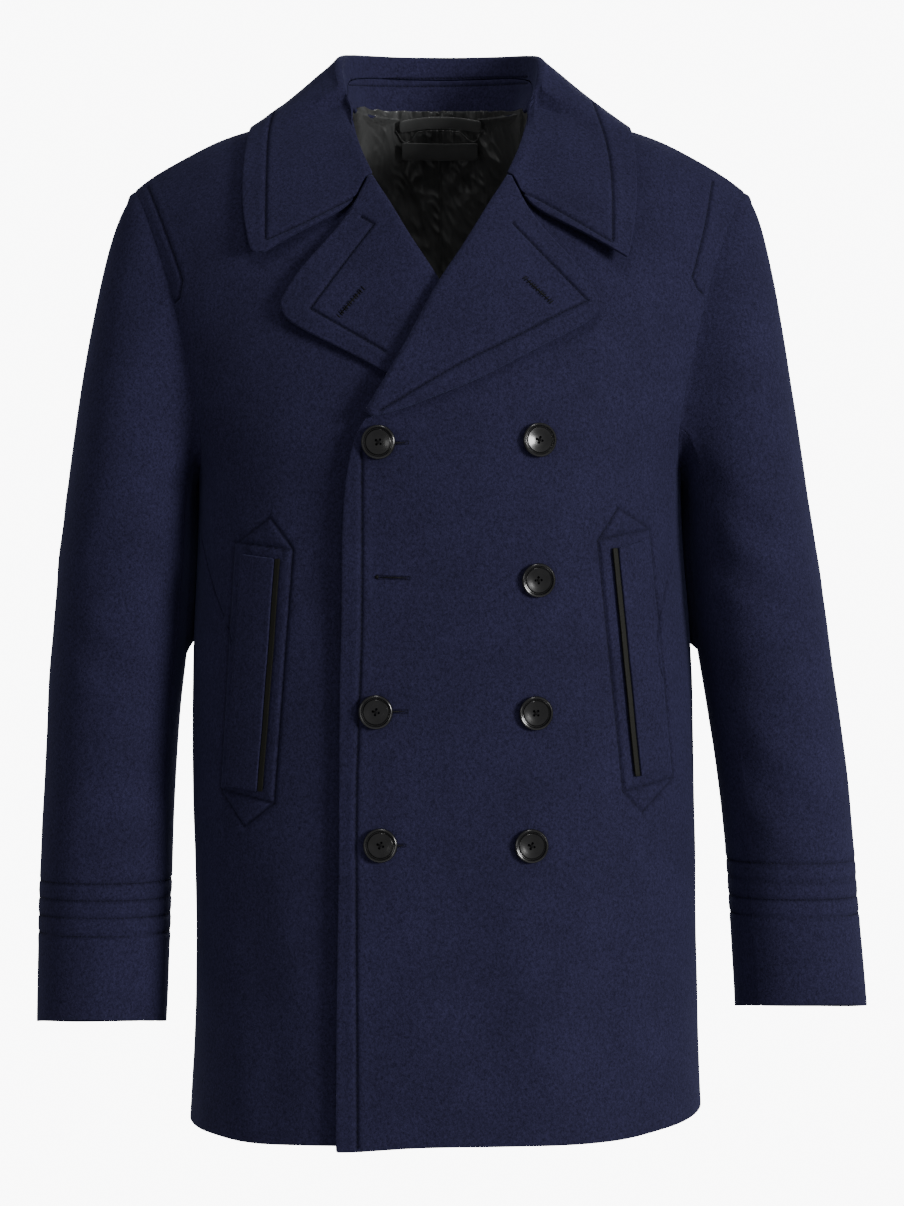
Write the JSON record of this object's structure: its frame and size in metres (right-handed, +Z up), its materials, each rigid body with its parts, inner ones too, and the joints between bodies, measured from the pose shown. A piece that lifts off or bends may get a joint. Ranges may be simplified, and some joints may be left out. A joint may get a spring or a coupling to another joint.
{
  "type": "pea coat",
  "caption": "Double-breasted pea coat in heavy navy wool, worn form: wide folded collar and lapels, slanted welt pockets, long sleeves, hollow and open below.",
  "frame": {"origin": "base of the wearer's back neck, midway between the shoulders, where the wearer carries the coat", "axes": "+Z up, +Y towards the wearer's back, +X towards the wearer's left"},
  "size_m": [0.653, 0.2908, 0.8541],
  "materials": {
    "wool": "matte felted nap",
    "satin": "smooth satin sheen",
    "leather": "satin",
    "horn": "polished"
  },
  "bodies": {
    "root": {"front_left": "wool", "front_right": "wool", "back_left": "wool", "back_right": "wool", "top_sleeve_left": "wool", "under_sleeve_left": "wool", "top_sleeve_right": "wool", "under_sleeve_right": "wool", "collar_fall": "wool", "collar_stand": "wool", "lapel_left": "wool", "lapel_right": "wool", "pocket_welt_left": "wool", "pocket_piping_left": "leather", "pocket_welt_right": "wool", "pocket_piping_right": "leather", "back_lining": "satin", "neck_label": "satin", "hanger_loop": "satin", "button_1_edge": "horn", "button_1_inner": "horn", "button_2_inner": "horn", "button_3_edge": "horn", "button_3_inner": "horn", "button_4_edge": "horn", "button_4_inner": "horn"}
  },
  "joints": []
}
